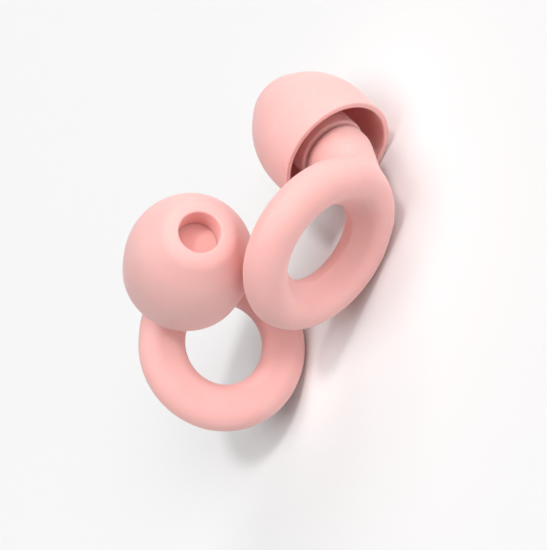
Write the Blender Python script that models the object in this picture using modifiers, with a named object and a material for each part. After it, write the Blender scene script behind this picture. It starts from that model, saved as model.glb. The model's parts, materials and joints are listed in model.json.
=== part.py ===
"""A pair of reusable flanged ear plugs with soft ring handles, resting against each other.

Each plug has three pieces: a soft ring body with a neck, a stiff stem core anchored in the neck, and a soft
ear tip pushed over the core. Both plugs are the same moulding; only their places differ.

Plug frame: origin at the ring's centre, +Z along the ring's axis towards the ear, +Y towards the neck.
Tip frame: origin at the centre of the ear tip's rim, +Z along the stem towards the ear.
"""
from math import atan2, asin, cos, pi, radians, sin, sqrt

import bpy
import bmesh
from mathutils import Matrix, Vector

MM = 0.001

# Ring: its section is the outline round these discs, as (radius from the ring's axis, height, disc radius).
RING_TUBE = (6.65, -0.25, 1.95)
RING_INNER_ROLL = (5.41, 0.34, 1.33)
RING_OUTER_ROLL = (8.00, -0.16, 0.65)
RING_HOLE_RIDGE = (4.18, -0.05, 0.15)
RING_SECTION_STEPS = 22
RING_STEPS = 48

# Stem axis: where the tip frame stands in the plug frame.
TIP_ORIGIN_Y = 8.02
TIP_ORIGIN_Z = 5.14
TIP_TILT_DEG = 9.8

# Neck: a stub round the stem axis, carried down to the outer side of the ring's tube.
NECK_RADIUS = 3.22
NECK_TOP = 0.60
NECK_EDGE = 0.25
NECK_SPREAD_DEG = 34.0
NECK_INSET = 0.10
NECK_ROOT_STEP = 0.90
NECK_STEPS = 40

# Stem core, heights in the tip frame. Its boss fills the floor of the mouth.
BOSS_HEIGHT = 0.30
POST_RADIUS = 2.35
POST_EDGE = 0.15
POST_BOTTOM = -0.80
WAIST_RADIUS = 1.45
FOOT_RADIUS = 1.90
FOOT_TOP = -1.80
FOOT_BOTTOM = -2.60
CORE_STEPS = 36

# Ear tip, heights in the tip frame. Its outside runs from the skirt's arc to the belly's arc, a straight
# shoulder, the crown's edge and the slightly domed crown; each angle is where one gives way to the next, as
# the direction that the surface faces there, counted from straight outwards.
TIP_LENGTH = 10.47
TIP_RADIUS = 6.00
BELLY_HEIGHT = 3.29
BELLY_ARC_RADIUS = 9.19
SKIRT_ARC_RADIUS = 40.0
SHOULDER_DEG = 35.0
CROWN_EDGE_RADIUS = 1.60
CROWN_DEG = 73.0
MOUTH_SIDE_DEG = 86.0
WALL = 0.56
RIM_EDGE = 0.10
MOUTH_RADIUS = 1.89
MOUTH_EDGE = 0.12
MOUTH_DEPTH = 2.60
SLEEVE_RADIUS = 3.43
SLEEVE_BOTTOM = 0.87
SLEEVE_EDGE = 0.22
SLEEVE_ROOT_RADIUS = 0.60
TIP_STEPS = 44

# Clearance between pieces that touch on the real plug.
CLEARANCE = 0.10

# Where each plug lies: (x, y, z) in mm of the ring's centre, and its XYZ Euler turn in degrees.
PLUG_PLACES = {
    "left": ((-9.72, 6.53, 8.40), (67.4, 42.4, 0.5)),
    "right": ((1.62, -6.17, 8.39), (-60.8, -54.2, -45.3)),
}

# Base colour and roughness of each piece.
SILICONE_PINK = (0.88, 0.47, 0.42, 1.0)
TIP_PINK = (0.90, 0.50, 0.45, 1.0)
CORE_PINK = (0.86, 0.42, 0.38, 1.0)


def clear_scene():
    """Remove every object and every leftover collection."""
    for item in list(bpy.data.objects):
        bpy.data.objects.remove(item, do_unlink=True)
    for group in list(bpy.data.collections):
        bpy.data.collections.remove(group)


def new_collection(name):
    """Add an empty collection to the scene."""
    group = bpy.data.collections.new(name)
    bpy.context.scene.collection.children.link(group)
    return group


def new_material(name, colour, roughness):
    """A plain Principled material."""
    material = bpy.data.materials.new(name)
    material.use_nodes = True
    shader = material.node_tree.nodes["Principled BSDF"]
    shader.inputs["Base Color"].default_value = colour
    shader.inputs["Roughness"].default_value = roughness
    shader.inputs["Metallic"].default_value = 0.0
    material.diffuse_color = colour
    return material


def arc(centre, radius, start_deg, end_deg, steps):
    """Points (r, h) in mm on an arc, both ends included; the angle is counted from +r towards +h."""
    points = []
    for i in range(steps + 1):
        angle = radians(start_deg + (end_deg - start_deg) * i / steps)
        points.append((centre[0] + radius * cos(angle), centre[1] + radius * sin(angle)))
    return points


def outline_round_discs(discs, steps):
    """The tight outline round some discs, clockwise, so that it runs down its outer side."""
    points = []
    for i in range(steps):
        angle = -2.0 * pi * i / steps
        out_r, out_h = cos(angle), sin(angle)
        centre_r, centre_h, radius = max(discs, key=lambda disc: disc[0] * out_r + disc[1] * out_h + disc[2])
        points.append((centre_r + radius * out_r, centre_h + radius * out_h))
    return points


def ring_section(inset=0.0):
    """The ring's section, drawn in by an inset."""
    discs = (RING_TUBE, RING_INNER_ROLL, RING_OUTER_ROLL, RING_HOLE_RIDGE)
    return outline_round_discs([(r, h, radius - inset) for r, h, radius in discs], RING_SECTION_STEPS)


def facing(angle_deg):
    """Unit vector (r, h) that faces an angle counted from straight outwards."""
    return Vector((cos(radians(angle_deg)), sin(radians(angle_deg))))


def tip_outer_profile():
    """Outer side of the ear tip from the mouth's edge down to the rim, as (r, h)."""
    belly = Vector((TIP_RADIUS - BELLY_ARC_RADIUS, BELLY_HEIGHT))
    skirt = Vector((TIP_RADIUS - SKIRT_ARC_RADIUS, BELLY_HEIGHT))
    mouth = Vector((MOUTH_RADIUS + MOUTH_EDGE, TIP_LENGTH - MOUTH_EDGE))
    rim_deg = -asin((BELLY_HEIGHT - RIM_EDGE) / SKIRT_ARC_RADIUS) * 180.0 / pi

    # The shoulder's length and the crown's radius are the two that close the run from the belly to the mouth.
    shoulder_out, crown_out, mouth_out = facing(SHOULDER_DEG), facing(CROWN_DEG), facing(MOUTH_SIDE_DEG)
    along_shoulder = facing(SHOULDER_DEG + 90.0)
    belly_end = belly + BELLY_ARC_RADIUS * shoulder_out
    gap = mouth + MOUTH_EDGE * mouth_out - belly_end - CROWN_EDGE_RADIUS * (crown_out - shoulder_out)
    along_crown = mouth_out - crown_out
    shoulder_length = gap.cross(along_crown) / along_shoulder.cross(along_crown)
    crown_radius = along_shoulder.cross(gap) / along_shoulder.cross(along_crown)
    edge = belly_end + shoulder_length * along_shoulder - CROWN_EDGE_RADIUS * shoulder_out
    crown = edge + (CROWN_EDGE_RADIUS - crown_radius) * crown_out

    profile = arc(mouth, MOUTH_EDGE, 180.0, MOUTH_SIDE_DEG, 2)
    profile += arc(crown, crown_radius, MOUTH_SIDE_DEG, CROWN_DEG, 3)[1:]
    profile += arc(edge, CROWN_EDGE_RADIUS, CROWN_DEG, SHOULDER_DEG, 4)[1:]
    profile += arc(belly, BELLY_ARC_RADIUS, SHOULDER_DEG, 0.0, 7)
    profile += arc(skirt, SKIRT_ARC_RADIUS, 0.0, rim_deg, 2)[1:]
    return profile


def tip_inner_profile(rim_outer):
    """Hollow side of the ear tip from the rim up the dome, down the sleeve and up the bore to the mouth."""
    inner_belly_radius = BELLY_ARC_RADIUS - WALL
    belly_r = TIP_RADIUS - BELLY_ARC_RADIUS
    root_r = SLEEVE_RADIUS + SLEEVE_ROOT_RADIUS
    root_reach = inner_belly_radius - SLEEVE_ROOT_RADIUS
    root_deg = atan2(sqrt(root_reach ** 2 - (root_r - belly_r) ** 2), root_r - belly_r) * 180.0 / pi
    root_h = BELLY_HEIGHT + root_reach * sin(radians(root_deg))
    bore = POST_RADIUS + CLEARANCE
    ledge = TIP_LENGTH - MOUTH_DEPTH - BOSS_HEIGHT + CLEARANCE
    lip_h = SLEEVE_BOTTOM + SLEEVE_EDGE

    profile = [(rim_outer - RIM_EDGE, 0.0), (rim_outer - WALL + RIM_EDGE, 0.0), (rim_outer - WALL, RIM_EDGE)]
    profile += arc((belly_r, BELLY_HEIGHT), inner_belly_radius, 0.0, root_deg, 6)
    profile += arc((root_r, root_h), SLEEVE_ROOT_RADIUS, root_deg, 180.0, 4)[1:]
    profile += arc((SLEEVE_RADIUS - SLEEVE_EDGE, lip_h), SLEEVE_EDGE, 0.0, -90.0, 3)
    profile += [(bore + SLEEVE_EDGE, SLEEVE_BOTTOM), (bore, lip_h), (bore, ledge), (MOUTH_RADIUS, ledge)]
    return profile


def tip_profile():
    """The whole closed section of the ear tip, running down its outer side."""
    outer = tip_outer_profile()
    return outer + tip_inner_profile(outer[-1][0])


def core_profile(grow=0.0, top=TIP_LENGTH - MOUTH_DEPTH):
    """The stem core's half section from the top of its axis to the bottom, grown by a clearance."""
    boss_radius = MOUTH_RADIUS - CLEARANCE
    shoulder = top - BOSS_HEIGHT
    return [
        (0.0, top),
        (boss_radius, top),
        (boss_radius, shoulder),
        (POST_RADIUS - POST_EDGE, shoulder),
        (POST_RADIUS + grow, shoulder - POST_EDGE - grow),
        (POST_RADIUS + grow, POST_BOTTOM - grow),
        (WAIST_RADIUS + grow, POST_BOTTOM - grow),
        (WAIST_RADIUS + grow, FOOT_TOP + grow),
        (FOOT_RADIUS + grow, FOOT_TOP + grow),
        (FOOT_RADIUS + grow, FOOT_BOTTOM - grow),
        (0.0, FOOT_BOTTOM - grow),
    ]


def turned(name, profile, steps, closed):
    """An object whose mesh is a section in the XZ plane, turned round its Z axis by a Screw modifier."""
    mesh = bpy.data.meshes.new(name)
    vertices = [(r * MM, 0.0, h * MM) for r, h in profile]
    edges = [(i, i + 1) for i in range(len(profile) - 1)]
    if closed:
        edges.append((len(profile) - 1, 0))
    mesh.from_pydata(vertices, edges, [])
    item = bpy.data.objects.new(name, mesh)
    screw = item.modifiers.new("turn", "SCREW")
    screw.axis = "Z"
    screw.angle = 2.0 * pi
    screw.steps = steps
    screw.render_steps = steps
    screw.use_merge_vertices = True
    screw.merge_threshold = 0.000001
    screw.use_smooth_shade = True
    return item


def tip_frame():
    """Matrix of the tip frame in the plug frame."""
    return Matrix.Translation((0.0, TIP_ORIGIN_Y * MM, TIP_ORIGIN_Z * MM)) @ Matrix.Rotation(
        radians(-TIP_TILT_DEG), 4, "X")


def neck_guide(name):
    """Convex neck: the stub's round top, joined to the outer and ear sides of the ring's tube below it."""
    shape = bmesh.new()
    to_plug = tip_frame()
    for radius, height in ((NECK_RADIUS - NECK_EDGE, NECK_TOP), (NECK_RADIUS, NECK_TOP - NECK_EDGE)):
        for i in range(NECK_STEPS):
            angle = 2.0 * pi * i / NECK_STEPS
            point = Vector((radius * cos(angle), radius * sin(angle), height)) * MM
            shape.verts.new(to_plug @ point)
    root = []
    for r, h in ring_section(NECK_INSET):
        if r >= RING_TUBE[0] + (NECK_ROOT_STEP if h < 0.0 else 0.0):
            root.append((r, h))
    spread_steps = 8
    for i in range(spread_steps + 1):
        angle = radians(NECK_SPREAD_DEG) * (2.0 * i / spread_steps - 1.0)
        for r, h in root:
            shape.verts.new(Vector((r * sin(angle), r * cos(angle), h)) * MM)
    hull = bmesh.ops.convex_hull(shape, input=shape.verts)
    bmesh.ops.delete(shape, geom=hull["geom_interior"], context="VERTS")
    mesh = bpy.data.meshes.new(name)
    shape.to_mesh(mesh)
    shape.free()
    return bpy.data.objects.new(name, mesh)


def hide_guide(guide, cutters, parent, matrix):
    """Put a guide in the cutters' collection, hidden and drawn as wire."""
    cutters.objects.link(guide)
    guide.parent = parent
    guide.matrix_local = matrix
    guide.hide_render = True
    guide.display_type = "WIRE"


def combine(item, guide, operation):
    """Add an exact Boolean with a guide."""
    boolean = item.modifiers.new(operation.lower(), "BOOLEAN")
    boolean.operation = operation
    boolean.solver = "EXACT"
    boolean.object = guide


def place(item, parts, parent, matrix, material):
    """Put a finished piece in the parts' collection under its plug."""
    parts.objects.link(item)
    item.parent = parent
    item.matrix_local = matrix
    item.data.materials.append(material)


def add_ring_body(side, parts, cutters, plug):
    """Ring and neck in one moulding, hollowed for the stem core."""
    item = turned(side + "_ring_body", ring_section(), RING_STEPS, closed=True)
    place(item, parts, plug, Matrix.Identity(4), new_material(side + "_ring_body", SILICONE_PINK, 0.55))
    neck = neck_guide(side + "_neck_guide")
    hide_guide(neck, cutters, plug, Matrix.Identity(4))
    combine(item, neck, "UNION")
    pocket_profile = core_profile(CLEARANCE, top=NECK_TOP + 1.0)
    pocket = turned(side + "_core_pocket", pocket_profile, CORE_STEPS, closed=False)
    hide_guide(pocket, cutters, plug, tip_frame())
    combine(item, pocket, "DIFFERENCE")


def add_stem_core(side, parts, plug):
    """Stiff post that the ear tip is pushed over, anchored in the neck by its waist and foot."""
    item = turned(side + "_stem_core", core_profile(), CORE_STEPS, closed=False)
    place(item, parts, plug, tip_frame(), new_material(side + "_stem_core", CORE_PINK, 0.4))


def add_ear_tip(side, parts, plug):
    """Dome and sleeve in one soft moulding, its origin on the stem axis."""
    item = turned(side + "_ear_tip", tip_profile(), TIP_STEPS, closed=True)
    place(item, parts, plug, tip_frame(), new_material(side + "_ear_tip", TIP_PINK, 0.55))


def add_plug(side, parts, cutters):
    """One plug, its pieces parented to an empty at the ring's centre."""
    location, turn = PLUG_PLACES[side]
    plug = bpy.data.objects.new(side + "_plug", None)
    parts.objects.link(plug)
    plug.location = Vector(location) * MM
    plug.rotation_euler = [radians(angle) for angle in turn]
    add_ring_body(side, parts, cutters, plug)
    add_stem_core(side, parts, plug)
    add_ear_tip(side, parts, plug)


clear_scene()
ear_plugs = new_collection("ear_plugs")
guides = new_collection("cutters")
for plug_side in PLUG_PLACES:
    add_plug(plug_side, ear_plugs, guides)
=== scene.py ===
"""Looks for a pair of flanged silicone ear plugs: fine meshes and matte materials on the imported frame.

Lengths are in millimetres, turned to metres by MM. Each plug has two frames of its own:
- plug frame: origin at the ring's centre, +Z along the ring's axis towards the ear, +Y towards the neck;
- tip frame: origin at the centre of the ear tip's rim, +Z along the stem towards the ear.
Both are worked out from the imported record.
"""
import json
from math import asin, atan2, cos, degrees, pi, radians, sin, sqrt

import bmesh
import bpy
import numpy as np
from mathutils import Euler, Matrix, Vector


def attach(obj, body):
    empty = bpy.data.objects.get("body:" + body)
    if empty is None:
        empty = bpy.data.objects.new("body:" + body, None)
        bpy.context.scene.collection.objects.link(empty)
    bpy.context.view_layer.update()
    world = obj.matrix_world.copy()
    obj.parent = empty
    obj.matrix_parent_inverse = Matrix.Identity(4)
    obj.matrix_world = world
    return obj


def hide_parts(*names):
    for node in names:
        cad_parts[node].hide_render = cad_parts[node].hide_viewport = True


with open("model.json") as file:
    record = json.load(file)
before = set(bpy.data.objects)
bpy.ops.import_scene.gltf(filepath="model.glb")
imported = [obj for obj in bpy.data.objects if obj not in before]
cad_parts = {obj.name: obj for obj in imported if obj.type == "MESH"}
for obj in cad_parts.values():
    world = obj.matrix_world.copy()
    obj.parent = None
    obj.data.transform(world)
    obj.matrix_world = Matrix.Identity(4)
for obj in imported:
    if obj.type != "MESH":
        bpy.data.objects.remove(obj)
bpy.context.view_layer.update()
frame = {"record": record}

MM = 0.001
SIDES = ("left", "right")

# Ring: its section is the outline round these discs, as (radius from the ring's axis, height, disc radius).
RING_TUBE = (6.65, -0.25, 1.95)
RING_INNER_ROLL = (5.41, 0.34, 1.33)
RING_OUTER_ROLL = (8.00, -0.16, 0.65)
RING_HOLE_RIDGE = (4.18, -0.05, 0.15)

# Stem axis: where the tip frame stands in the plug frame.
TIP_ORIGIN_Y = 8.02
TIP_ORIGIN_Z = 5.14
TIP_TILT_DEG = 9.8

# Neck: a stub round the stem axis, carried down to the outer side of the ring's tube. Its foot starts under
# the ring's skin, by the inset, and is blended into it.
NECK_RADIUS = 3.22
NECK_TOP = 0.60
NECK_EDGE = 0.25
NECK_STRAIGHT_TO = -1.00
NECK_SPREAD_DEG = 34.0
NECK_INSET = 0.30
NECK_ROOT_STEP = 0.90
NECK_BLEND = 0.80

# Stem core, heights in the tip frame. Its boss fills the floor of the mouth.
BOSS_HEIGHT = 0.30
BOSS_GAP = 0.02
POST_RADIUS = 2.35
POST_EDGE = 0.15
POST_BOTTOM = -0.80
WAIST_RADIUS = 1.45
FOOT_RADIUS = 1.90
FOOT_TOP = -1.80
FOOT_BOTTOM = -2.60

# Ear tip, heights in the tip frame. Its outside runs from the skirt's arc to the belly's arc, a straight
# shoulder, the crown's edge and the slightly domed crown; each angle is where one gives way to the next, as
# the direction that the surface faces there, counted from straight outwards.
TIP_LENGTH = 10.47
TIP_RADIUS = 6.00
BELLY_HEIGHT = 3.29
BELLY_ARC_RADIUS = 9.19
SKIRT_ARC_RADIUS = 40.0
SHOULDER_DEG = 35.0
CROWN_EDGE_RADIUS = 1.60
CROWN_DEG = 73.0
MOUTH_SIDE_DEG = 86.0
WALL = 0.56
RIM_EDGE = 0.14
MOUTH_RADIUS = 1.89
MOUTH_EDGE = 0.14
MOUTH_DEPTH = 2.60
SLEEVE_RADIUS = 3.43
SLEEVE_BOTTOM = 0.87
SLEEVE_EDGE = 0.22
SLEEVE_ROOT_RADIUS = 0.60

# Clearance between pieces that touch on the real plug, and how far the pocket's cutter stands out of the
# neck.
CLEARANCE = 0.10
POCKET_OVERSHOOT = 1.0

# Fineness of the meshes. The forms that are remeshed need only every sixth or third point of the ring's
# section.
VOXEL = 0.13
TURN_STEPS = 192
CORE_TURN_STEPS = 96
FORM_TURN_STEPS = 96
HULL_STEPS = 160
SPREAD_STEPS = 40
SECTION_DIRECTIONS = 360
FORM_EVERY = 6
FOOT_EVERY = 3
CORNER_DEG = 40.0
TIP_CORNER_DEG = 50.0

# Settling of the ring body's skin. Hull faces under the least area, in square mm, have no sound normal.
RELAX_ROUNDS = 3
RELAX_SHARE = 0.5
LEAST_FACE_AREA = 1e-7
PLANE_BATCH = 2000
HULL_FROM_Y = -1.0

# Softening of the neck's foot: it fades in beyond this Y and below this Z of the plug frame.
SOFTEN_FROM_Y = 4.5
SOFTEN_TO_Z = 4.8
SOFTEN_FADE = 1.5
SOFTEN_ROUNDS = 60

# Materials, by slot: the clouding's lighter and deeper tint, the roughness and the grain's size.
FINISHES = {
    "ring_silicone": ((0.915, 0.505, 0.478, 1.0), (0.900, 0.485, 0.458, 1.0), 0.54, 0.10),
    "tip_silicone": ((0.920, 0.515, 0.488, 1.0), (0.905, 0.495, 0.468, 1.0), 0.50, 0.08),
    "core_plastic": ((0.915, 0.505, 0.478, 1.0), (0.900, 0.485, 0.458, 1.0), 0.45, 0.12),
}
CLOUD_SIZE = 4.0
CLOUD_FROM = 0.35
CLOUD_TO = 0.65
WEAR_SIZE = 1.5
WEAR_SMOOTHER = 0.06
WEAR_ROUGHER = 0.08
GRAIN_STRENGTH = 0.25
GRAIN_DEPTH = 0.02
SCATTER_DEPTH = 1.1
SHADER_VALUES = {
    "Subsurface Weight": 0.45,
    "Subsurface Radius": (1.0, 0.28, 0.20),
    "Subsurface Scale": SCATTER_DEPTH * MM,
    "IOR": 1.41,
    "Specular IOR Level": 0.40,
    "Sheen Weight": 0.20,
    "Sheen Roughness": 0.5,
}
FLOOR_REACH = 4000.0
FLOOR_TINT = (0.86, 0.86, 0.86, 1.0)
FLOOR_ROUGHNESS = 0.9

# Camera: at the photograph's angle.
CAMERA_PLACE = (-1.95, -91.70, 69.39)
CAMERA_TURN_DEG = (16.32, 54.80, -70.28)
CAMERA_LENS = 75.7
CAMERA_NEAREST = 5.0

# Suns: direction in the camera's own axes (right, up, back), width in degrees, strength in W/m2.
LIGHTS = {
    "key": ((-0.39, 0.44, 0.81), 9.0, 0.98),
    "front_top": ((0.00, 0.50, 0.87), 32.0, 0.95),
    "top": ((-0.28, 0.90, 0.28), 32.0, 0.72),
    "front_left": ((-0.72, 0.08, 0.62), 40.0, 1.28),
    "front_right": ((0.50, 0.10, 0.85), 32.0, 0.37),
}

# World: its light fades from the horizon up to the band's top, and the camera sees it no darker than the
# backdrop.
HORIZON_STRENGTH = 0.40
ZENITH_STRENGTH = 0.12
HORIZON_BAND = 0.35
BACKDROP_STRENGTH = 0.95


# ---------------------------------------------------------------------------------------------- frames

def unit(vector):
    """A vector or tuple as a vector of length one."""
    return Vector(vector).normalized()


def plug_frames(side):
    """Matrices of one plug's frame and of its ear tip's frame, from the record's ring hole and stem end."""
    record = frame["record"]
    hole = next(item for item in record["physics"]["openings"] if item["name"] == side + "_ring_hole")
    stem = next(item for item in record["mounts"] if item["name"] == side + "_stem_end")
    low, high = (Vector(corner) for corner in hole["box_m"])
    centre = (low + high) / 2.0
    stem_axis = unit(stem["axis"])
    tip_origin = Vector(stem["pos_m"]) - stem_axis * (TIP_LENGTH - MOUTH_DEPTH) * MM

    across = unit((tip_origin - centre).cross(stem_axis))
    tilt = radians(TIP_TILT_DEG)
    ring_axis = stem_axis * cos(tilt) + across.cross(stem_axis) * sin(tilt)
    plug = Matrix((across, ring_axis.cross(across), ring_axis)).transposed().to_4x4()
    plug.translation = centre
    tip = Matrix((across, stem_axis.cross(across), stem_axis)).transposed().to_4x4()
    tip.translation = tip_origin
    return plug, tip


def tip_in_plug():
    """Matrix of the tip frame in the plug frame, in mm."""
    turn = Matrix.Rotation(radians(-TIP_TILT_DEG), 4, "X")
    return Matrix.Translation((0.0, TIP_ORIGIN_Y, TIP_ORIGIN_Z)) @ turn


# -------------------------------------------------------------------------------------------- sections

def arc(centre, radius, start_deg, end_deg, steps):
    """Points (r, h) on an arc, both ends included; the angle is counted from +r towards +h."""
    points = []
    for i in range(steps + 1):
        angle = radians(start_deg + (end_deg - start_deg) * i / steps)
        points.append((centre[0] + radius * cos(angle), centre[1] + radius * sin(angle)))
    return points


def straight(start, end, steps):
    """Evenly spaced points (r, h) on the straight between two others, both ends left out."""
    points = []
    for i in range(1, steps):
        share = i / steps
        points.append((start[0] + (end[0] - start[0]) * share, start[1] + (end[1] - start[1]) * share))
    return points


def ring_support():
    """Unit directions (r, h), how far the ring's section reaches along each, and the points that do."""
    angles = np.linspace(0.0, 2.0 * pi, SECTION_DIRECTIONS, endpoint=False)
    directions = np.column_stack([np.cos(angles), np.sin(angles)])
    discs = np.array([RING_TUBE, RING_INNER_ROLL, RING_OUTER_ROLL, RING_HOLE_RIDGE])
    reach = directions @ discs[:, :2].T + discs[:, 2]
    best = reach.argmax(axis=1)
    points = discs[best, :2] + discs[best, 2:3] * directions
    return directions, reach.max(axis=1), points


def facing(angle_deg):
    """Unit vector (r, h) that faces an angle counted from straight outwards."""
    return Vector((cos(radians(angle_deg)), sin(radians(angle_deg))))


def rim_facing_deg():
    """Which way the skirt faces where it meets the rim, counted from straight outwards."""
    return -degrees(asin((BELLY_HEIGHT - RIM_EDGE) / SKIRT_ARC_RADIUS))


def tip_outer_profile():
    """Outer side of the ear tip from the mouth's edge down to the rim."""
    belly = Vector((TIP_RADIUS - BELLY_ARC_RADIUS, BELLY_HEIGHT))
    skirt = Vector((TIP_RADIUS - SKIRT_ARC_RADIUS, BELLY_HEIGHT))
    mouth = Vector((MOUTH_RADIUS + MOUTH_EDGE, TIP_LENGTH - MOUTH_EDGE))

    # The shoulder's length and the crown's radius are the two that close the run from the belly to the mouth.
    shoulder_out, crown_out, mouth_out = facing(SHOULDER_DEG), facing(CROWN_DEG), facing(MOUTH_SIDE_DEG)
    along_shoulder = facing(SHOULDER_DEG + 90.0)
    belly_end = belly + BELLY_ARC_RADIUS * shoulder_out
    gap = mouth + MOUTH_EDGE * mouth_out - belly_end - CROWN_EDGE_RADIUS * (crown_out - shoulder_out)
    along_crown = mouth_out - crown_out
    shoulder_length = gap.cross(along_crown) / along_shoulder.cross(along_crown)
    crown_radius = along_shoulder.cross(gap) / along_shoulder.cross(along_crown)
    edge = belly_end + shoulder_length * along_shoulder - CROWN_EDGE_RADIUS * shoulder_out
    crown = edge + (CROWN_EDGE_RADIUS - crown_radius) * crown_out

    profile = arc(mouth, MOUTH_EDGE, 180.0, MOUTH_SIDE_DEG, steps=5)
    profile += arc(crown, crown_radius, MOUTH_SIDE_DEG, CROWN_DEG, steps=10)[1:]
    profile += arc(edge, CROWN_EDGE_RADIUS, CROWN_DEG, SHOULDER_DEG, steps=10)[1:]
    profile += straight(profile[-1], belly_end, steps=5)
    profile += arc(belly, BELLY_ARC_RADIUS, SHOULDER_DEG, 0.0, steps=30)
    profile += arc(skirt, SKIRT_ARC_RADIUS, 0.0, rim_facing_deg(), steps=12)[1:]
    rim_outer = profile[-1][0]
    profile += arc((rim_outer - RIM_EDGE, RIM_EDGE), RIM_EDGE, 0.0, -90.0, steps=4)[1:]
    return profile


def tip_inner_profile(rim_outer):
    """Hollow side of the ear tip from the rim up the dome, down the sleeve and up the bore to the mouth."""
    belly_r = TIP_RADIUS - BELLY_ARC_RADIUS
    skirt_r = TIP_RADIUS - SKIRT_ARC_RADIUS
    inner_arc_radius = BELLY_ARC_RADIUS - WALL
    root_r = SLEEVE_RADIUS + SLEEVE_ROOT_RADIUS
    root_reach = inner_arc_radius - SLEEVE_ROOT_RADIUS
    root_rise = sqrt(root_reach ** 2 - (root_r - belly_r) ** 2)
    root_deg = degrees(atan2(root_rise, root_r - belly_r))
    root_h = BELLY_HEIGHT + root_rise
    bore = POST_RADIUS + CLEARANCE
    ledge = TIP_LENGTH - MOUTH_DEPTH - BOSS_HEIGHT + CLEARANCE
    lip_h = SLEEVE_BOTTOM + SLEEVE_EDGE
    mouth_top = TIP_LENGTH - MOUTH_EDGE

    profile = arc((rim_outer - WALL + RIM_EDGE, RIM_EDGE), RIM_EDGE, -90.0, -180.0, steps=4)
    profile += arc((skirt_r, BELLY_HEIGHT), SKIRT_ARC_RADIUS - WALL, rim_facing_deg(), 0.0, steps=10)[1:]
    profile += arc((belly_r, BELLY_HEIGHT), inner_arc_radius, 0.0, root_deg, steps=24)[1:]
    profile += arc((root_r, root_h), SLEEVE_ROOT_RADIUS, root_deg, 180.0, steps=10)[1:]
    profile += straight((SLEEVE_RADIUS, root_h), (SLEEVE_RADIUS, lip_h), steps=5)
    profile += arc((SLEEVE_RADIUS - SLEEVE_EDGE, lip_h), SLEEVE_EDGE, 0.0, -90.0, steps=6)
    profile += arc((bore + SLEEVE_EDGE, lip_h), SLEEVE_EDGE, -90.0, -180.0, steps=6)
    profile += straight((bore, lip_h), (bore, ledge), steps=4)
    profile.append((bore, ledge))
    profile += straight((bore, ledge), (MOUTH_RADIUS, ledge), steps=2)
    profile.append((MOUTH_RADIUS, ledge))
    profile += straight((MOUTH_RADIUS, ledge), (MOUTH_RADIUS, mouth_top), steps=4)
    return profile


def tip_profile():
    """The ear tip's whole closed section, running down its outer side."""
    outer = tip_outer_profile()
    return outer + tip_inner_profile(outer[-1][0] + RIM_EDGE)


def core_profile(grow=0.0, top=TIP_LENGTH - MOUTH_DEPTH):
    """The stem core's half section from the top of its axis to the bottom, grown by a clearance."""
    edge = POST_EDGE + grow
    post = POST_RADIUS + grow
    boss_radius = MOUTH_RADIUS - BOSS_GAP
    shoulder = top - BOSS_HEIGHT
    profile = [(0.0, top), (boss_radius, top), (boss_radius, shoulder)]
    profile += arc((post - edge, shoulder - edge), edge, 90.0, 0.0, steps=6)
    profile += [
        (post, POST_BOTTOM - grow),
        (WAIST_RADIUS + grow, POST_BOTTOM - grow),
        (WAIST_RADIUS + grow, FOOT_TOP + grow),
        (FOOT_RADIUS + grow, FOOT_TOP + grow),
        (FOOT_RADIUS + grow, FOOT_BOTTOM - grow),
        (0.0, FOOT_BOTTOM - grow),
    ]
    return profile


# ---------------------------------------------------------------------------------------------- meshes

def new_object(name, vertices, faces):
    """An object in the scene from vertices in mm and faces."""
    mesh = bpy.data.meshes.new(name)
    mesh.from_pydata([Vector(vertex) * MM for vertex in vertices], [], faces)
    mesh.validate()
    item = bpy.data.objects.new(name, mesh)
    bpy.context.scene.collection.objects.link(item)
    return item


def turned(name, profile, steps, closed):
    """A section turned round the Z axis. An open section starts and ends on the axis."""
    ring_rows = profile if closed else profile[1:-1]
    count = len(ring_rows)
    vertices = []
    for i in range(steps):
        angle = 2.0 * pi * i / steps
        vertices += [(r * cos(angle), r * sin(angle), h) for r, h in ring_rows]
    faces = []
    row_pairs = count if closed else count - 1
    for i in range(steps):
        here, there = i * count, (i + 1) % steps * count
        for j in range(row_pairs):
            k = (j + 1) % count
            faces.append((here + j, here + k, there + k, there + j))
    if not closed:
        top = len(vertices)
        vertices += [(0.0, 0.0, profile[0][1]), (0.0, 0.0, profile[-1][1])]
        for i in range(steps):
            here, there = i * count, (i + 1) % steps * count
            faces.append((top, here, there))
            faces.append((top + 1, there + count - 1, here + count - 1))
    return new_object(name, vertices, faces)


def neck_hull():
    """Convex neck as a bmesh in mm: the stub's rounded top over the outer half of the ring's tube."""
    shape = bmesh.new()
    to_plug = tip_in_plug()
    levels = arc((NECK_RADIUS - NECK_EDGE, NECK_TOP - NECK_EDGE), NECK_EDGE, 90.0, 0.0, steps=6)
    levels.append((NECK_RADIUS, NECK_STRAIGHT_TO))
    for radius, height in levels:
        for i in range(HULL_STEPS):
            angle = 2.0 * pi * i / HULL_STEPS
            shape.verts.new(to_plug @ Vector((radius * cos(angle), radius * sin(angle), height)))
    directions, _, points = ring_support()
    foot = []
    for point, out in zip(points[::FOOT_EVERY], directions[::FOOT_EVERY]):
        if point[0] >= RING_TUBE[0] + (NECK_ROOT_STEP if point[1] < 0.0 else 0.0):
            foot.append(point - NECK_INSET * out)
    for i in range(SPREAD_STEPS + 1):
        angle = radians(NECK_SPREAD_DEG) * (2.0 * i / SPREAD_STEPS - 1.0)
        for r, h in foot:
            shape.verts.new((r * sin(angle), r * cos(angle), h))
    hull = bmesh.ops.convex_hull(shape, input=shape.verts)
    bmesh.ops.delete(shape, geom=hull["geom_interior"], context="VERTS")
    bmesh.ops.recalc_face_normals(shape, faces=shape.faces)
    return shape


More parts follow.
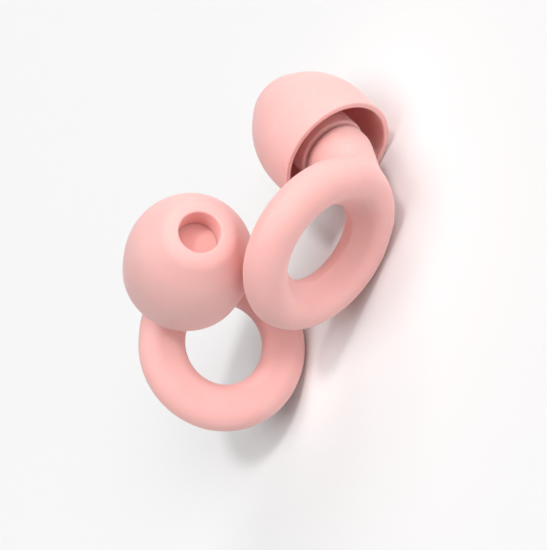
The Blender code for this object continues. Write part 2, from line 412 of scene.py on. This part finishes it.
def ring_distance(points, directions, reach):
    """Signed distance and gradient from the plain ring, for an array of points in mm."""
    from_axis = np.hypot(points[:, 0], points[:, 1])
    section = np.column_stack([from_axis, points[:, 2]])
    beyond = section @ directions.T - reach
    best = beyond.argmax(axis=1)
    distance = beyond[np.arange(len(points)), best]
    out = directions[best]
    radial = points[:, :2] / from_axis[:, None]
    return distance, np.column_stack([radial * out[:, :1], out[:, 1]])


def hull_planes(hull):
    """Outward unit normals and offsets of a convex hull's faces, slivers left out."""
    normals = []
    offsets = []
    for face in hull.faces:
        if face.calc_area() < LEAST_FACE_AREA:
            continue
        normals.append(face.normal[:])
        offsets.append(face.normal.dot(face.verts[0].co))
    return np.array(normals), np.array(offsets)


def hull_distance(points, normals, offsets):
    """Signed distance and gradient from the neck's hull: each point's furthest way beyond a face plane."""
    distance = np.empty(len(points))
    gradient = np.empty((len(points), 3))
    for start in range(0, len(points), PLANE_BATCH):
        batch = slice(start, start + PLANE_BATCH)
        beyond = points[batch] @ normals.T - offsets
        best = beyond.argmax(axis=1)
        distance[batch] = beyond[np.arange(len(best)), best]
        gradient[batch] = normals[best]
    return distance, gradient


def settle_on_body(points, section_shape, neck_shape):
    """Moves points on to the smooth union of the ring and the neck's hull."""
    ring, ring_out = ring_distance(points, *section_shape)
    hull = ring + 2.0 * NECK_BLEND
    hull_out = ring_out.copy()
    near = points[:, 1] > HULL_FROM_Y
    hull[near], hull_out[near] = hull_distance(points[near], *neck_shape)
    share = np.clip(0.5 + 0.5 * (hull - ring) / NECK_BLEND, 0.0, 1.0)
    distance = hull * (1.0 - share) + ring * share - NECK_BLEND * share * (1.0 - share)
    out = hull_out * (1.0 - share[:, None]) + ring_out * share[:, None]
    out /= np.linalg.norm(out, axis=1)[:, None]
    return points - out * distance[:, None]


def neighbour_mean(points, edges):
    """The mean of each vertex's neighbours."""
    total = np.zeros_like(points)
    count = np.zeros(len(points))
    for here, there in ((0, 1), (1, 0)):
        np.add.at(total, edges[:, here], points[edges[:, there]])
        np.add.at(count, edges[:, here], 1.0)
    return total / count[:, None]


def soften_neck(points, edges):
    """Melts the neck's foot into the ring, and leaves the rest of the ring and the neck's top as they are."""
    into_neck = np.clip((points[:, 1] - SOFTEN_FROM_Y) / SOFTEN_FADE, 0.0, 1.0)
    below_top = np.clip((SOFTEN_TO_Z - points[:, 2]) / SOFTEN_FADE, 0.0, 1.0)
    weight = RELAX_SHARE * (into_neck * below_top)[:, None]
    for _ in range(SOFTEN_ROUNDS):
        points = points * (1.0 - weight) + neighbour_mean(points, edges) * weight
    return points


def apply_modifiers(item):
    """Replaces an object's mesh with its evaluated one."""
    graph = bpy.context.evaluated_depsgraph_get()
    graph.update()
    mesh = bpy.data.meshes.new_from_object(item.evaluated_get(graph))
    item.modifiers.clear()
    item.data = mesh


def ring_body_form(name, section):
    """Rough ring and neck as one object, remeshed into a single even skin, with the neck's face planes."""
    item = turned(name, [tuple(point) for point in section[::-FORM_EVERY]], FORM_TURN_STEPS, closed=True)
    hull = neck_hull()
    planes = hull_planes(hull)
    bmesh.ops.scale(hull, vec=(MM, MM, MM), verts=hull.verts)
    hull.from_mesh(item.data)
    hull.to_mesh(item.data)
    hull.free()
    remesh = item.modifiers.new("skin", "REMESH")
    remesh.mode = "VOXEL"
    remesh.voxel_size = VOXEL * MM
    apply_modifiers(item)
    return item, planes


def ring_body_mesh(name):
    """Ring and neck as one smooth skin: the rough form, relaxed and settled on their smooth union."""
    directions, reach, section = ring_support()
    item, neck_shape = ring_body_form(name, section)
    section_shape = (directions, reach)

    mesh = item.data
    points = np.empty(len(mesh.vertices) * 3)
    mesh.vertices.foreach_get("co", points)
    points = points.reshape(-1, 3) / MM
    edges = np.empty(len(mesh.edges) * 2, dtype=np.int64)
    mesh.edges.foreach_get("vertices", edges)
    edges = edges.reshape(-1, 2)
    for _ in range(RELAX_ROUNDS):
        points = (1.0 - RELAX_SHARE) * points + RELAX_SHARE * neighbour_mean(points, edges)
        points = settle_on_body(points, section_shape, neck_shape)
    points = settle_on_body(points, section_shape, neck_shape)
    points = soften_neck(points, edges)
    mesh.vertices.foreach_set("co", (points * MM).ravel())
    mesh.update()
    return item


def cut_pocket(item):
    """Cuts the stem core's pocket, with its clearance, out of a ring body."""
    profile = core_profile(CLEARANCE, top=NECK_TOP + POCKET_OVERSHOOT)
    pocket = turned("pocket", profile, CORE_TURN_STEPS, closed=False)
    pocket.data.transform(Matrix.Scale(MM, 4) @ tip_in_plug() @ Matrix.Scale(1.0 / MM, 4))
    boolean = item.modifiers.new("pocket", "BOOLEAN")
    boolean.operation = "DIFFERENCE"
    boolean.solver = "EXACT"
    boolean.object = pocket
    apply_modifiers(item)
    bpy.data.objects.remove(pocket, do_unlink=True)


def shade(item, sharp_deg):
    """Smooth shading with edges sharper than an angle kept crisp."""
    item.data.shade_smooth()
    item.data.set_sharp_from_angle(angle=radians(sharp_deg))


# ------------------------------------------------------------------------------------------- materials

def node(tree, kind, **settings):
    """A shader node with some of its properties set."""
    made = tree.nodes.new(kind)
    for key, value in settings.items():
        setattr(made, key, value)
    return made


def noise(tree, place, size, detail):
    """A noise in the piece's own coordinates, its features about as large as a size in mm."""
    texture = node(tree, "ShaderNodeTexNoise")
    texture.inputs["Scale"].default_value = 1.0 / (size * MM)
    texture.inputs["Detail"].default_value = detail
    tree.links.new(place.outputs["Object"], texture.inputs["Vector"])
    return texture.outputs["Fac"]


def silicone(name, colour, deep_colour, roughness, grain_size):
    """Soft-touch silicone: cloudy colour, a fine moulded grain, and light that scatters under the skin."""
    material = bpy.data.materials.new(name)
    material.use_nodes = True
    tree = material.node_tree
    shader = tree.nodes["Principled BSDF"]
    link = tree.links.new
    place = node(tree, "ShaderNodeTexCoord")

    tint = node(tree, "ShaderNodeValToRGB")
    tint.color_ramp.elements[0].position = CLOUD_FROM
    tint.color_ramp.elements[0].color = deep_colour
    tint.color_ramp.elements[1].position = CLOUD_TO
    tint.color_ramp.elements[1].color = colour
    link(noise(tree, place, CLOUD_SIZE, 3.0), tint.inputs["Fac"])
    link(tint.outputs["Color"], shader.inputs["Base Color"])

    wear = node(tree, "ShaderNodeMapRange")
    wear.inputs["To Min"].default_value = roughness - WEAR_SMOOTHER
    wear.inputs["To Max"].default_value = roughness + WEAR_ROUGHER
    link(noise(tree, place, WEAR_SIZE, 5.0), wear.inputs["Value"])
    link(wear.outputs["Result"], shader.inputs["Roughness"])

    grain = node(tree, "ShaderNodeBump")
    grain.inputs["Strength"].default_value = GRAIN_STRENGTH
    grain.inputs["Distance"].default_value = GRAIN_DEPTH * MM
    link(noise(tree, place, grain_size, 4.0), grain.inputs["Height"])
    link(grain.outputs["Normal"], shader.inputs["Normal"])

    for socket, value in SHADER_VALUES.items():
        shader.inputs[socket].default_value = value
    return material


def floor_material():
    """Plain pale matte floor."""
    material = bpy.data.materials.new("floor")
    material.use_nodes = True
    shader = material.node_tree.nodes["Principled BSDF"]
    shader.inputs["Base Color"].default_value = FLOOR_TINT
    shader.inputs["Roughness"].default_value = FLOOR_ROUGHNESS
    return material


# ---------------------------------------------------------------------------------------------- pieces

def finish_piece(item, node_name, matrix, body, slot, materials):
    """Places a finished piece in its mesh, gives it its material and ties it to the frame."""
    item.data.transform(matrix)
    item.data.materials.clear()
    item.data.materials.append(materials[slot])
    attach(item, body)
    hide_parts(node_name)


def add_plugs(materials):
    """Both plugs: ring body, stem core and ear tip each."""
    body_mesh = ring_body_mesh("ring_body_form")
    cut_pocket(body_mesh)
    shade(body_mesh, CORNER_DEG)
    for side in SIDES:
        plug, tip = plug_frames(side)
        ring_body = bpy.data.objects.new(side + "_ring_and_neck", body_mesh.data.copy())
        bpy.context.scene.collection.objects.link(ring_body)
        finish_piece(ring_body, side + "_ring_body", plug, side + "_plug", "ring_silicone", materials)

        core = turned(side + "_stem", core_profile(), CORE_TURN_STEPS, closed=False)
        shade(core, CORNER_DEG)
        finish_piece(core, side + "_stem_core", tip, side + "_plug", "core_plastic", materials)

        ear_tip = turned(side + "_dome_and_sleeve", tip_profile(), TURN_STEPS, closed=True)
        shade(ear_tip, TIP_CORNER_DEG)
        finish_piece(ear_tip, side + "_ear_tip", tip, side + "_tip", "tip_silicone", materials)
    bpy.data.objects.remove(body_mesh, do_unlink=True)


# --------------------------------------------------------------------------------------------- setting

def add_camera():
    """The camera, where the photograph was taken from."""
    camera = bpy.data.objects.new("camera", bpy.data.cameras.new("camera"))
    bpy.context.scene.collection.objects.link(camera)
    camera.location = Vector(CAMERA_PLACE) * MM
    camera.rotation_euler = Euler([radians(angle) for angle in CAMERA_TURN_DEG])
    camera.data.lens = CAMERA_LENS
    camera.data.clip_start = CAMERA_NEAREST * MM
    bpy.context.scene.camera = camera
    return camera


def add_lights(camera):
    """Soft suns that come from beside and above the camera."""
    turn = camera.rotation_euler.to_matrix()
    for name, (direction, width, strength) in LIGHTS.items():
        data = bpy.data.lights.new(name, "SUN")
        data.angle = radians(width)
        data.energy = strength
        light = bpy.data.objects.new(name, data)
        bpy.context.scene.collection.objects.link(light)
        light.rotation_euler = (turn @ unit(direction)).to_track_quat("Z", "Y").to_euler()


def add_floor():
    """A plain square floor under the plugs."""
    corners = [(FLOOR_REACH * x, FLOOR_REACH * y, 0.0) for x, y in ((-1, -1), (1, -1), (1, 1), (-1, 1))]
    floor = new_object("floor", corners, [(0, 1, 2, 3)])
    floor.data.materials.append(floor_material())


def set_world():
    """A white studio, brighter round the horizon than overhead, with a plain pale backdrop."""
    world = bpy.data.worlds.new("studio")
    world.use_nodes = True
    tree = world.node_tree
    place = node(tree, "ShaderNodeTexCoord")
    split = node(tree, "ShaderNodeSeparateXYZ")
    tree.links.new(place.outputs["Generated"], split.inputs["Vector"])
    fade = node(tree, "ShaderNodeMapRange", interpolation_type="SMOOTHSTEP")
    fade.inputs["From Max"].default_value = HORIZON_BAND
    fade.inputs["To Min"].default_value = HORIZON_STRENGTH
    fade.inputs["To Max"].default_value = ZENITH_STRENGTH
    tree.links.new(split.outputs["Z"], fade.inputs["Value"])
    seen = node(tree, "ShaderNodeLightPath")
    backdrop = node(tree, "ShaderNodeMath", operation="MULTIPLY")
    backdrop.inputs[1].default_value = BACKDROP_STRENGTH
    tree.links.new(seen.outputs["Is Camera Ray"], backdrop.inputs[0])
    brighter = node(tree, "ShaderNodeMath", operation="MAXIMUM")
    tree.links.new(fade.outputs["Result"], brighter.inputs[0])
    tree.links.new(backdrop.outputs["Value"], brighter.inputs[1])
    background = tree.nodes["Background"]
    background.inputs["Color"].default_value = (1.0, 1.0, 1.0, 1.0)
    tree.links.new(brighter.outputs["Value"], background.inputs["Strength"])
    bpy.context.scene.world = world
    bpy.context.scene.view_settings.view_transform = "Standard"


add_lights(add_camera())
set_world()
add_floor()
add_plugs({slot: silicone(slot, *finish) for slot, finish in FINISHES.items()})
